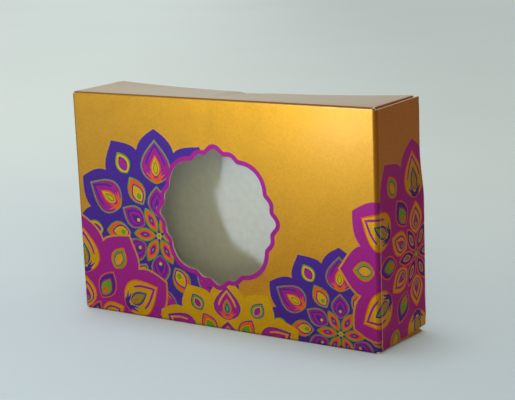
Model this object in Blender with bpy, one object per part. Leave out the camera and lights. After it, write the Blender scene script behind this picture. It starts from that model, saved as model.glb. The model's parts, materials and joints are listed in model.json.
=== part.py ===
"""A window carton folded from one sheet of board: a tube of four panels, closed at both ends.

The tube runs from left to right. Its front panel carries the window and, on its two upright edges, the
closures. Each closure ends in a tuck flap that slides in behind the back panel, and covers the dust flaps
of the top and bottom panels. Every panel ends half way round its fold, where its neighbour begins.
X runs along the carton, -Y is the front and Z = 0 is the surface that it stands on.
"""

import math

import bmesh
import bpy
from mathutils import Matrix, Vector

# Board
BOARD = 0.00045
FOLD_INNER_RADIUS = 0.00075
CLEARANCE = 0.0003

# Tube
CARTON_WIDTH = 0.191
CARTON_DEPTH = 0.046
CARTON_HEIGHT = 0.125
SEAM_SAG = 0.0028
GLUE_FLAP_REACH = 0.012
GLUE_FLAP_LIP = 0.0015
GLUE_FLAP_STEP = 0.0005
GLUE_FLAP_TAPER = 0.006
GLUE_FLAP_SPARE = 0.002

# Window
WINDOW_TIP_RADIUS = 0.0372
WINDOW_OFF_CENTRE = 0.0011
WINDOW_HEIGHT_SHARE = 0.491
FILM = 0.0002
FILM_MARGIN = 0.007
FILM_CORNER = 0.004

# Closures
CLOSURE_SPRING_TOP = 0.0012
CLOSURE_SPRING_BOTTOM = 0.0036
CLOSURE_BACK_RISE = 0.003

# Tuck flaps
TUCK_REACH = 0.014
TUCK_LEAN = math.radians(9)
TUCK_INSET = 0.004
TUCK_CORNER = 0.006

# Dust flaps
DUST_REACH = 0.042
DUST_BACK_RELIEF = 0.004
DUST_SHOULDER_RELIEF = 0.012
DUST_SHOULDER_RISE = 0.0055
DUST_FRONT_TAPER = 0.004
DUST_CORNER = 0.005

# The window's outline over an eighth of a turn: degrees, share of the tip radius, how early the curve turns
SCALLOP_SHARES = (
    (0, 1.0, 1.0),
    (10, 0.916, 1.0),
    (16.5, 0.939, 1.0),
    (26, 0.895, 1.0),
    (45, 0.973, 0.62),
)
SCALLOP_STEPS = 5
SCALLOP_SYMMETRY = 4

# How finely curves are cut into faces
FOLD_STEPS = 3
CORNER_STEPS = 4
SAG_STEPS = 18
TWIST_STEPS = 8

# Finishes: colour, metallic, roughness
GOLD = ((0.62, 0.40, 0.09), 1.0, 0.38)
CLEAR_FILM = ((0.90, 0.92, 0.92), 0.0, 0.08)

# Sizes that follow
FOLD_RADIUS = FOLD_INNER_RADIUS + BOARD
INSIDE = BOARD + CLEARANCE
END_PLANE = CARTON_WIDTH / 2 - INSIDE
TUCK_PLANE = CARTON_DEPTH / 2 - INSIDE
SEAM_EDGE = TUCK_PLANE - FOLD_RADIUS
OVERRUN = 4 * BOARD


def clear_scene():
    for item in list(bpy.data.objects):
        bpy.data.objects.remove(item)


def finish(name, colour, metallic, roughness):
    material = bpy.data.materials.new(name)
    material.use_nodes = True
    shader = material.node_tree.nodes["Principled BSDF"]
    shader.inputs["Base Color"].default_value = (*colour, 1)
    shader.inputs["Metallic"].default_value = metallic
    shader.inputs["Roughness"].default_value = roughness
    return material


def add_object(name, mesh, colours):
    """Puts a bmesh into the scene under its name, with a material of its own."""
    data = bpy.data.meshes.new(name)
    bmesh.ops.triangulate(mesh, faces=[f for f in mesh.faces if len(f.verts) == 4])
    bmesh.ops.recalc_face_normals(mesh, faces=mesh.faces)
    mesh.to_mesh(data)
    mesh.free()
    data.materials.append(finish(name + "_finish", *colours))
    item = bpy.data.objects.new(name, data)
    bpy.context.scene.collection.objects.link(item)
    return item


def add_hinge(name, point, parent=None):
    """An empty on a crease; what hangs from it keeps its own place."""
    hinge = bpy.data.objects.new(name, None)
    bpy.context.scene.collection.objects.link(hinge)
    hinge.location = point - (parent.matrix_world.translation if parent else Vector())
    hinge.parent = parent
    bpy.context.view_layer.update()
    return hinge


def hang(item, hinge):
    """Moves an object's origin to its hinge without moving its shape."""
    item.data.transform(Matrix.Translation(-hinge.matrix_world.translation))
    item.parent = hinge


def flat_station(along):
    """A place on a flat stretch: (along, depth) of the outer face and of the inner face."""
    return (along, 0.0), (along, BOARD)


def half_fold(edge, direction):
    """Stations from the flat up to the mitre, half way round the fold whose outer face is at edge."""
    centre = edge - direction * FOLD_RADIUS
    stations = []
    for step in range(1, FOLD_STEPS + 1):
        faces = []
        for radius in (FOLD_RADIUS, FOLD_INNER_RADIUS):
            mitre = math.pi / 4 - CLEARANCE / 2 / radius
            angle = mitre * step / FOLD_STEPS
            along = centre + direction * radius * math.sin(angle)
            faces.append((along, FOLD_RADIUS - radius * math.cos(angle)))
        stations.append(tuple(faces))
    return stations


def stations_between(low, high, fold_low, fold_high, between=()):
    """Stations across a panel. A folded edge is given by its outer face, a raw one by the cut."""
    first = low + FOLD_RADIUS if fold_low else low
    last = high - FOLD_RADIUS if fold_high else high
    found = list(reversed(half_fold(low, -1))) if fold_low else []
    found += [flat_station(a) for a in (first, *between, last)]
    found += half_fold(high, 1) if fold_high else []
    return found


def spread(low, high, steps):
    """The places between two ends that cut their distance into equal steps."""
    return [low + (high - low) * k / steps for k in range(1, steps)]


def board_panel(name, across, up, place, colours, cut_away=lambda column, row: False):
    """A closed sheet of board over a grid of stations. place(a, b, depth) puts a point in the model."""
    mesh = bmesh.new()
    sides = []
    for side in (0, 1):
        sides.append([
            [
                mesh.verts.new(place(a[side][0], b[side][0], a[side][1] + b[side][1] - side * BOARD))
                for a in across
            ]
            for b in up
        ])
    outer, inner = sides
    cells = [
        (column, row)
        for row in range(len(up) - 1)
        for column in range(len(across) - 1)
        if not cut_away(column, row)
    ]
    corners = ((0, 0), (1, 0), (1, 1), (0, 1))
    edges = set()
    for column, row in cells:
        loop = [(row + dr, column + dc) for dc, dr in corners]
        mesh.faces.new([outer[r][c] for r, c in loop])
        mesh.faces.new([inner[r][c] for r, c in reversed(loop)])
        edges.update(zip(loop, loop[1:] + loop[:1]))
    for start, end in edges:
        if (end, start) in edges:
            continue
        (r0, c0), (r1, c1) = start, end
        mesh.faces.new([outer[r1][c1], outer[r0][c0], inner[r0][c0], inner[r1][c1]])
    bmesh.ops.delete(mesh, geom=[v for v in mesh.verts if not v.link_faces], context="VERTS")
    return add_object(name, mesh, colours)


def in_folds(index, count):
    """Whether a cell of a row of stations lies in the half fold at either end."""
    return index < FOLD_STEPS or index >= count - 1 - FOLD_STEPS


def plate(name, outline, front, back, colours):
    """A flat piece of the given (x, z) outline between two planes."""
    mesh = bmesh.new()
    face = mesh.faces.new([mesh.verts.new((x, front, z)) for x, z in outline])
    grown = bmesh.ops.extrude_face_region(mesh, geom=[face])
    moved = [v for v in grown["geom"] if isinstance(v, bmesh.types.BMVert)]
    bmesh.ops.translate(mesh, verts=moved, vec=Vector((0, back - front, 0)))
    return add_object(name, mesh, colours)


def sag(x):
    """How far the seam along the top of the back dips, from nothing at the ends to SEAM_SAG mid-way."""
    share = min(1, abs(x) / (END_PLANE - FOLD_RADIUS))
    return SEAM_SAG * (1 - share**2)


def sag_places():
    reach = END_PLANE - FOLD_RADIUS
    return spread(-reach, reach, SAG_STEPS)


def seam_share(y):
    """How much of the seam's dip the top panel takes, from its front fold back."""
    return min(1, max(0, (y + CARTON_DEPTH / 2) / (SEAM_EDGE + CARTON_DEPTH / 2)))


def window_radius(degrees):
    """The window's radius in a direction, from the scallop's dents and lobes."""
    period = 360 / SCALLOP_SYMMETRY
    folded = abs((degrees + period / 2) % period - period / 2)
    for (a0, r0, _), (a1, r1, early) in zip(SCALLOP_SHARES, SCALLOP_SHARES[1:]):
        if folded <= a1:
            turn = ((folded - a0) / (a1 - a0)) ** early
            return WINDOW_TIP_RADIUS * (r0 + (r1 - r0) * (1 - math.cos(math.pi * turn)) / 2)
    return WINDOW_TIP_RADIUS * SCALLOP_SHARES[-1][1]


def window_outline():
    """Points round the window, closer together where the scallops are small."""
    eighth = []
    for (a0, _, _), (a1, _, _) in zip(SCALLOP_SHARES, SCALLOP_SHARES[1:]):
        eighth += [a0 + (a1 - a0) * k / SCALLOP_STEPS for k in range(SCALLOP_STEPS)]
    last = SCALLOP_SHARES[-1][0]
    period = eighth + [last] + [2 * last - a for a in reversed(eighth[1:])]
    centre_x, centre_z = window_centre()
    points = []
    for quarter in range(SCALLOP_SYMMETRY):
        for degrees in period:
            turn = degrees + quarter * 2 * last
            reach = window_radius(turn)
            angle = math.radians(turn)
            points.append((centre_x + reach * math.cos(angle), centre_z + reach * math.sin(angle)))
    return points


def window_centre():
    return -WINDOW_OFF_CENTRE, CARTON_HEIGHT * WINDOW_HEIGHT_SHARE


def front_panel():
    half = CARTON_WIDTH / 2
    across = stations_between(-half, half, True, True)
    up = stations_between(0, CARTON_HEIGHT, True, True)
    face = -CARTON_DEPTH / 2

    def place(x, z, depth):
        return x, face + depth, z

    def corner(column, row):
        return in_folds(column, len(across)) and in_folds(row, len(up))

    panel = board_panel("front_panel", across, up, place, GOLD, corner)
    cutter = plate("window_cutter", window_outline(), face - OVERRUN, face + BOARD + OVERRUN, GOLD)
    cutter.hide_render = True
    cutter.display_type = "WIRE"
    cut = panel.modifiers.new("window", "BOOLEAN")
    cut.operation = "DIFFERENCE"
    cut.object = cutter


def window_film():
    """The clear patch behind the window, a square with rounded corners."""
    reach = WINDOW_TIP_RADIUS + FILM_MARGIN
    centre_x, centre_z = window_centre()
    outline = []
    for quarter in range(4):
        turn = quarter * math.pi / 2
        for step in range(CORNER_STEPS + 1):
            angle = turn + math.pi / 2 * step / CORNER_STEPS
            side_x = 1 if quarter in (0, 3) else -1
            side_z = 1 if quarter in (0, 1) else -1
            x = centre_x + side_x * (reach - FILM_CORNER) + FILM_CORNER * math.cos(angle)
            z = centre_z + side_z * (reach - FILM_CORNER) + FILM_CORNER * math.sin(angle)
            outline.append((x, z))
    front = -CARTON_DEPTH / 2 + INSIDE
    plate("window_film", outline, front, front + FILM, CLEAR_FILM)


def end_cells(across, up):
    """Cuts a top or bottom panel's ends down to the width of the dust flaps' creases."""
    limit = CARTON_DEPTH / 2 - DUST_BACK_RELIEF

    def cut_away(column, row):
        beside = in_folds(row, len(up)) or up[row + 1][0][0] > limit + CLEARANCE
        return in_folds(column, len(across)) and beside

    return cut_away


def top_panel():
    half = CARTON_DEPTH / 2
    across = stations_between(-END_PLANE, END_PLANE, True, True, sag_places())
    up = stations_between(-half, TUCK_PLANE, True, True, (half - DUST_BACK_RELIEF,))

    def place(x, y, depth):
        return x, y, CARTON_HEIGHT - depth - sag(x) * seam_share(y)

    board_panel("top_panel", across, up, place, GOLD, end_cells(across, up))


def bottom_panel():
    half = CARTON_DEPTH / 2
    across = stations_between(-END_PLANE, END_PLANE, True, True)
    up = stations_between(-half, half, True, True, (half - DUST_BACK_RELIEF,))

    def place(x, y, depth):
        return x, y, depth

    board_panel("bottom_panel", across, up, place, GOLD, end_cells(across, up))


def back_panel():
    """The back ends in a cut edge at the seam, just below the rounded fold of the glue flap."""
    across = stations_between(-END_PLANE, END_PLANE, False, False, sag_places())
    up = stations_between(0, CARTON_HEIGHT - FOLD_RADIUS, True, False)

    def place(x, z, depth):
        return x, CARTON_DEPTH / 2 - depth, z - sag(x) * z / CARTON_HEIGHT

    board_panel("back_panel", across, up, place, GOLD)


def glue_flap():
    """Hangs from the top panel's back fold, inside the back panel.

    Only its lip runs the whole length: below that it is cut back at both ends, clear of the tuck flaps.
    """
    low = CARTON_HEIGHT - GLUE_FLAP_REACH
    lip = CARTON_HEIGHT - FOLD_RADIUS - GLUE_FLAP_LIP
    whole = END_PLANE - FOLD_RADIUS
    cut_back = CARTON_WIDTH / 2 - TUCK_REACH - GLUE_FLAP_SPARE
    across = stations_between(-1, 1, False, False, spread(-1, 1, SAG_STEPS))
    up = stations_between(low, CARTON_HEIGHT, False, True, (lip - GLUE_FLAP_STEP, lip))

    def place(share, z, depth):
        below = (lip - GLUE_FLAP_STEP - z) / (lip - GLUE_FLAP_STEP - low)
        x = share * (whole if z >= lip else cut_back - GLUE_FLAP_TAPER * below)
        return x, TUCK_PLANE - depth, z - sag(x)

    board_panel("glue_flap", across, up, place, GOLD)


def closure_spring(share):
    """How far a closure's free edge stands out, at a share of its height."""
    return CLOSURE_SPRING_BOTTOM + (CLOSURE_SPRING_TOP - CLOSURE_SPRING_BOTTOM) * share


def closure_ends(y):
    """The closure's lowest and highest point at a distance from its crease: both rise to the back."""
    share = min(1, max(0, (y + CARTON_DEPTH / 2) / (TUCK_PLANE + CARTON_DEPTH / 2)))
    low = FOLD_RADIUS + CLOSURE_BACK_RISE * share
    high = CARTON_HEIGHT - FOLD_RADIUS + (FOLD_RADIUS - CLEARANCE) * share
    return share, low, high


def closure_panel(name, side):
    front = -CARTON_DEPTH / 2
    between = spread(front + FOLD_RADIUS, SEAM_EDGE, TWIST_STEPS)
    across = stations_between(front, TUCK_PLANE, True, True, between)
    up = stations_between(0, 1, False, False, spread(0, 1, TWIST_STEPS))

    def place(y, height_share, depth):
        share, low, high = closure_ends(y)
        x = CARTON_WIDTH / 2 - depth + closure_spring(height_share) * share
        return side * x, y, low + (high - low) * height_share

    return board_panel(name, across, up, place, GOLD)


def tuck_span():
    """The lowest and highest point of a tuck flap."""
    _, low, high = closure_ends(TUCK_PLANE)
    return low + TUCK_INSET, high - TUCK_INSET


def tuck_flap(name, side):
    """Leans off the back panel, so that it follows the closure's swing without catching."""
    low, high = tuck_span()
    rounds = [TUCK_CORNER * (1 - math.cos(math.pi / 2 * k / CORNER_STEPS)) for k in range(CORNER_STEPS + 1)]
    heights = [low + r for r in rounds] + [high - r for r in reversed(rounds)]
    _, closure_low, closure_high = closure_ends(TUCK_PLANE)
    up = [flat_station(z) for z in heights]
    across = stations_between(0, TUCK_REACH, True, False)

    def place(away, z, depth):
        inset = max(0, TUCK_CORNER - min(z - low, high - z))
        rounding = TUCK_CORNER - math.sqrt(max(0, TUCK_CORNER**2 - inset**2))
        if away > FOLD_RADIUS:
            away = away - rounding
        lean = math.tan(TUCK_LEAN) * max(0, away - FOLD_RADIUS)
        spring = closure_spring((z - closure_low) / (closure_high - closure_low))
        return side * (CARTON_WIDTH / 2 + spring - away), TUCK_PLANE - depth - lean, z

    return board_panel(name, across, up, place, GOLD)


def dust_flap(name, side, top):
    """Stands just inside the closure. Its back edge steps in, to let the tuck flap pass."""
    front = -CARTON_DEPTH / 2 + FOLD_RADIUS
    back = CARTON_DEPTH / 2 - DUST_BACK_RELIEF
    shoulder = CARTON_DEPTH / 2 - DUST_SHOULDER_RELIEF
    rounds = [DUST_CORNER * math.sin(math.pi / 2 * k / CORNER_STEPS) for k in range(CORNER_STEPS + 1)]
    heights = [DUST_SHOULDER_RISE] + [DUST_REACH - DUST_CORNER + r for r in rounds]
    up = stations_between(0, heights.pop(), True, False, heights)
    across = stations_between(0, 1, False, False)

    def place(share, z, depth):
        flat = max(0, z - FOLD_RADIUS)
        inset = max(0, z - (DUST_REACH - DUST_CORNER))
        rounding = DUST_CORNER - math.sqrt(max(0, DUST_CORNER**2 - inset**2))
        step = min(1, flat / (DUST_SHOULDER_RISE - FOLD_RADIUS))
        low = front + DUST_FRONT_TAPER * flat / (DUST_REACH - FOLD_RADIUS) + rounding
        high = back + (shoulder - back) * step - rounding
        height = CARTON_HEIGHT - z if top else z
        return side * (END_PLANE - depth), low + (high - low) * share, height

    return board_panel(name, across, up, place, GOLD)


def outer_apex(edge):
    """Where a fold's outer face turns half way, for a fold that opens outwards."""
    return edge - FOLD_RADIUS * (1 - math.cos(math.pi / 4))


def inner_apex(edge):
    """Where a fold's inner face turns half way, for a flap that folds inwards."""
    return edge - FOLD_RADIUS + FOLD_INNER_RADIUS * math.cos(math.pi / 4)


def end_of_carton(side_name, side):
    """One end: its closure, tuck flap and two dust flaps, each hung on its crease."""
    fold_x = side * outer_apex(CARTON_WIDTH / 2)
    closure_axis = Vector((fold_x, -outer_apex(CARTON_DEPTH / 2), CARTON_HEIGHT / 2))
    closure_hinge = add_hinge(side_name + "_closure_hinge", closure_axis)
    hang(closure_panel(side_name + "_closure_panel", side), closure_hinge)

    _, low, high = closure_ends(TUCK_PLANE)
    fold_x = side * (inner_apex(CARTON_WIDTH / 2) + closure_spring(1 / 2))
    tuck_axis = Vector((fold_x, inner_apex(TUCK_PLANE), (low + high) / 2))
    tuck_hinge = add_hinge(side_name + "_tuck_hinge", tuck_axis, closure_hinge)
    hang(tuck_flap(side_name + "_tuck_flap", side), tuck_hinge)

    for level, top in (("top", True), ("bottom", False)):
        height = inner_apex(CARTON_HEIGHT) if top else CARTON_HEIGHT - inner_apex(CARTON_HEIGHT)
        axis = Vector((side * inner_apex(END_PLANE), 0, height))
        dust_hinge = add_hinge(f"{side_name}_{level}_dust_hinge", axis)
        hang(dust_flap(f"{side_name}_{level}_dust_flap", side, top), dust_hinge)


def main():
    clear_scene()
    front_panel()
    window_film()
    top_panel()
    bottom_panel()
    back_panel()
    glue_flap()
    end_of_carton("right", 1)
    end_of_carton("left", -1)


main()
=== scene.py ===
"""Dresses the window carton: printed foil board with raw cut edges, curved creases, and a clear film.

The carton is folded from one flat sheet. Every board is cut from that sheet's printed pattern and then
laid where the folds put it, so that the ornament runs on from panel to panel.
"""

import functools
import json
import math

import bpy
import numpy as np
from bpy.props import FloatProperty, FloatVectorProperty, IntProperty, PointerProperty
from bpy.types import Operator, Panel, PropertyGroup
from mathutils import Matrix, Vector
from mathutils.geometry import delaunay_2d_cdt


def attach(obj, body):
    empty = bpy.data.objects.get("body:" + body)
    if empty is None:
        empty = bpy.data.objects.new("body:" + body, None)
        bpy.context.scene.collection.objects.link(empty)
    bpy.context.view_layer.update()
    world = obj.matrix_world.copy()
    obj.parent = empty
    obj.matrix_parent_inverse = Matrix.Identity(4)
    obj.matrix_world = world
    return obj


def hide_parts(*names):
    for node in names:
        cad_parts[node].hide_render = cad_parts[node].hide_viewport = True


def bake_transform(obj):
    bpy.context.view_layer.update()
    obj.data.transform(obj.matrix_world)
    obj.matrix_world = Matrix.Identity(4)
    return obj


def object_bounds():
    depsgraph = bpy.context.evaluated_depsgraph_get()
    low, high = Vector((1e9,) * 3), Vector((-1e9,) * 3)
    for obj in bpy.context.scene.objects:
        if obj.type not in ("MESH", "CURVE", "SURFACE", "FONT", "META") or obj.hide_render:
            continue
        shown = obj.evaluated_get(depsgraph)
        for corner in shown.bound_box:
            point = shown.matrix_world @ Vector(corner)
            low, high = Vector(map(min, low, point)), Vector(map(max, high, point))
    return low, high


bl_info = {
    "name": "Window carton",
    "version": (1, 0, 0),
    "blender": (4, 5, 0),
    "location": "3D View > Sidebar > Carton",
    "description": "Dresses a folded window carton in printed foil board",
    "category": "Object",
}

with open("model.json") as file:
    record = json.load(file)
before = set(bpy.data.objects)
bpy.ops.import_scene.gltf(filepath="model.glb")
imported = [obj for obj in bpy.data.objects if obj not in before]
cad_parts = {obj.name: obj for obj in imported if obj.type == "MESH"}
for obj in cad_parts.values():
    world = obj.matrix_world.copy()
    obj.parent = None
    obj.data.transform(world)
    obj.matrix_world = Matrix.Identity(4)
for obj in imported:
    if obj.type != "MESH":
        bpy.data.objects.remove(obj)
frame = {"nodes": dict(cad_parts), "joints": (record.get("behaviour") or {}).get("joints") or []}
CAD_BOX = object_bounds()

MM = 0.001
SIDES = {"right": 1, "left": -1}
LEVELS = ("top", "bottom")
INKS = ("gold", "violet", "magenta", "yellow", "green", "orange")

# Points of the flat sheet that are nearer than this are one point
MERGE = 0.001 * MM
# How far to either side of a point the sheet's slope is measured
NORMAL_STEP = 0.02 * MM
TINY = 1e-12
# How far a board's face is turned from the axes, so its folds are known: 0 flat, 0.29 at 45 degrees
LEAN = "lean"


def joint(name):
    """A joint of the frame by its name."""
    for found in frame["joints"]:
        if found["name"] == name:
            return found
    raise RuntimeError(f"the frame has no joint named {name}")


class SheetSizes(PropertyGroup):
    """Sizes of the board and of its folds."""

    board: FloatProperty(
        name="Board", description="Thickness of the board", default=0.45 * MM, unit="LENGTH"
    )
    fold_radius: FloatProperty(
        name="Fold radius", description="Radius of a fold's outer face", default=1.2 * MM, unit="LENGTH"
    )
    upright_radius: FloatProperty(
        name="Upright fold radius", description="Radius of the softer folds beside the front",
        default=2.2 * MM, unit="LENGTH",
    )
    clearance: FloatProperty(
        name="Clearance", description="Room between two boards", default=0.3 * MM, unit="LENGTH"
    )
    seam_sag: FloatProperty(
        name="Seam sag", description="Dip of the top's back edge", default=2.8 * MM, unit="LENGTH"
    )
    seam_dent: FloatProperty(
        name="Seam dent", description="Depth of the small dent in that edge", default=0.8 * MM,
        unit="LENGTH",
    )
    spring_top: FloatProperty(
        name="Spring, top", description="How far a closure stands out at its top", default=1.2 * MM,
        unit="LENGTH",
    )
    spring_middle: FloatProperty(
        name="Spring, middle", description="How far it stands out in the middle", default=3.3 * MM,
        unit="LENGTH",
    )
    spring_bottom: FloatProperty(
        name="Spring, bottom", description="How far it stands out at its foot", default=3.6 * MM,
        unit="LENGTH",
    )
    tuck_lean: FloatProperty(
        name="Tuck lean", description="Lean of a tuck flap off the back", default=math.radians(9),
        subtype="ANGLE",
    )
    window_tip: FloatProperty(
        name="Window", description="Radius to the tips of the window's scallops", default=37.2 * MM,
        unit="LENGTH",
    )


class PrintSizes(PropertyGroup):
    """Sizes of the printed ornament."""

    border: FloatProperty(
        name="Window border", description="Width of the line round the window", default=2.55 * MM,
        unit="LENGTH",
    )
    trim: FloatProperty(
        name="Trim", description="Width of the gold line round a mandala", default=1.1 * MM, unit="LENGTH"
    )
    # Width of the painted highlight, a pale line along a closure's crease
    worn: FloatProperty(
        name="Painted highlight line", description="Width of the line where a closure creases", default=0.32 * MM,
        unit="LENGTH",
    )
    petals: IntProperty(name="Petal pairs", description="Pairs of petals in a mandala", default=6, min=3)
    steps: IntProperty(name="Steps", description="Points along half a motif's edge", default=9, min=3)


class Finishes(PropertyGroup):
    """Colours of the inks, the board and the floor."""

    gold: FloatVectorProperty(
        name="Gold", description="Metallised ground", default=(0.88, 0.435, 0.008), subtype="COLOR"
    )
    violet: FloatVectorProperty(
        name="Violet", description="Violet ink", default=(0.08, 0.025, 0.34), subtype="COLOR"
    )
    magenta: FloatVectorProperty(
        name="Magenta", description="Magenta ink", default=(0.42, 0.016, 0.28), subtype="COLOR"
    )
    yellow: FloatVectorProperty(
        name="Yellow", description="Yellow ink", default=(0.84, 0.50, 0.002), subtype="COLOR"
    )
    green: FloatVectorProperty(
        name="Green", description="Green ink", default=(0.16, 0.40, 0.01), subtype="COLOR"
    )
    orange: FloatVectorProperty(
        name="Orange", description="Orange ink", default=(0.86, 0.13, 0.008), subtype="COLOR"
    )
    inside: FloatVectorProperty(
        name="Inside", description="Uncoated inner face", default=(0.82, 0.79, 0.635), subtype="COLOR"
    )
    edge: FloatVectorProperty(
        name="Cut edge", description="Raw edge of the board", default=(0.62, 0.56, 0.47), subtype="COLOR"
    )
    # Colour of the painted highlight along the upright creases
    worn: FloatVectorProperty(
        name="Painted crease highlight", description="Pale line painted where a crease catches the light", default=(0.36, 0.27, 0.36),
        subtype="COLOR",
    )
    floor: FloatVectorProperty(
        name="Floor", description="Floor and backdrop", default=(0.67, 0.74, 0.75), subtype="COLOR"
    )


class StudioSettings(PropertyGroup):
    """Lamps of the studio."""

    key: FloatProperty(
        name="Key", description="Power of the lamp in front", default=0.094, unit="POWER"
    )
    sheen: FloatProperty(
        name="Sheen", description="Power of the lamp that gloss sees", default=1.02, unit="POWER"
    )
    glint: FloatProperty(
        name="Glint", description="Power of the small lamp that the front's corner mirrors",
        default=0.028, unit="POWER",
    )
    fill: FloatProperty(
        name="Fill", description="Power of the soft lamp beside the camera", default=1.9, unit="POWER"
    )
    overhead: FloatProperty(
        name="Overhead", description="Strength of the soft light from above", default=1.20, min=0
    )
    ambient: FloatProperty(name="Ambient", description="Strength of the sky", default=0.58, min=0)


# How finely curves are cut into faces
FOLD_STEPS = 8
HALF_FOLD_STEPS = FOLD_STEPS // 2
SAG_SPACING = 5 * MM
SPRING_SPACING = 4 * MM
PLAIN_SPACING = 24 * MM

# Shares of the closure's height between which its spring changes, and the eased start of its swing
SPRING_HIGH_SHARE = 0.784
SPRING_LOW_SHARE = 0.56
SPRING_FOOT_SHARE = 0.16
SPRING_EASE_SHARE = 0.05

# The dent in the top's back edge, across the carton
DENT_START = -12 * MM
DENT_PEAK = -10 * MM
DENT_END = 14 * MM

# The panels' raw edges. A closure's foot rises this much towards its back edge
BACK_RISE = 3 * MM
# The glue flap, the tuck flaps and the dust flaps
GLUE_REACH = 12 * MM
GLUE_LIP = 1.5 * MM
GLUE_STEP = 0.5 * MM
GLUE_TAPER = 6 * MM
GLUE_SPARE = 2 * MM
TUCK_REACH = 14 * MM
TUCK_INSET = 4 * MM
TUCK_CORNER = 6 * MM
DUST_REACH = 42 * MM
DUST_BACK_RELIEF = 4 * MM
DUST_SHOULDER_RELIEF = 12 * MM
DUST_SHOULDER_RISE = 5.5 * MM
DUST_FRONT_TAPER = 4 * MM
DUST_CORNER = 5 * MM
DUST_FOOT_LOW = 2.5 * MM
DUST_FOOT_RISE = 14 * MM
CORNER_STEPS = 8

# The window: degrees, share of the tip radius, how early the curve turns, over an eighth of a turn
SCALLOP_SHARES = (
    (0, 1.0, 1.0),
    (10, 0.916, 1.0),
    (16.5, 0.939, 1.0),
    (26, 0.895, 1.0),
    (45, 0.973, 0.62),
)
# Degrees after which the scallops come again, mirrored half way, and degrees between the outline's points
SCALLOP_TURN = 90
SCALLOP_STEP = 1.5
WINDOW_OFF_CENTRE = 1.1 * MM
WINDOW_HEIGHT_SHARE = 0.491


def smooth(share):
    """An ease from nothing to one."""
    share = np.clip(share, 0, 1)
    return share * share * (3 - 2 * share)


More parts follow.
